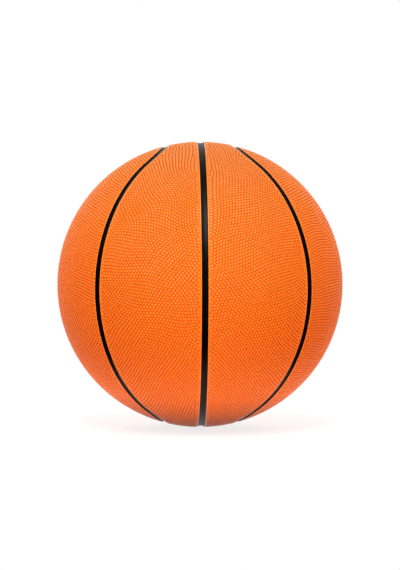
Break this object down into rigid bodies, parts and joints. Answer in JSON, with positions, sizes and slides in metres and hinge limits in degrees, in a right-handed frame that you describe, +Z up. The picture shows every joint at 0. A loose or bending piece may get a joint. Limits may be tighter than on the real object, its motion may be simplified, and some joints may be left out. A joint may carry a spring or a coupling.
{
  "type": "basketball",
  "caption": "Pebbled rubber basketball of full size, with black recessed channels between its cover panels and a needle valve at the back.",
  "frame": {"origin": "centre of the ball", "axes": "+Z up, -Y towards the camera side, +X to the right; the main channel lies in the plane x = 0 and the cross channel in y = 0; the valve is on the equator at the back"},
  "size_m": [0.2384, 0.2384, 0.2384],
  "materials": {
    "cover": "pebbled, satin",
    "channel": "smooth, satin",
    "carcass": "matt",
    "winding": "wound thread set in latex",
    "bladder": "smooth, satin",
    "valve": "smooth, matt"
  },
  "bodies": {
    "root": {"bladder": "bladder", "winding": "winding", "carcass": "carcass", "valve_housing": "valve", "valve_plug": "valve", "front_left_panel": "cover", "front_right_panel": "cover", "back_left_panel": "cover", "back_right_panel": "cover", "left_front_side_panel": "cover", "left_back_side_panel": "cover", "right_front_side_panel": "cover", "right_back_side_panel": "cover", "centre_strip": "channel", "left_front_seam_strip": "channel", "left_back_seam_strip": "channel", "left_top_seam_strip": "channel", "left_bottom_seam_strip": "channel", "right_front_seam_strip": "channel", "right_back_seam_strip": "channel", "right_top_seam_strip": "channel", "right_bottom_seam_strip": "channel", "left_cross_strip": "channel", "right_cross_strip": "channel", "top_left_bridge_strip": "channel", "top_right_bridge_strip": "channel", "bottom_left_bridge_strip": "channel", "bottom_right_bridge_strip": "channel"}
  },
  "joints": []
}
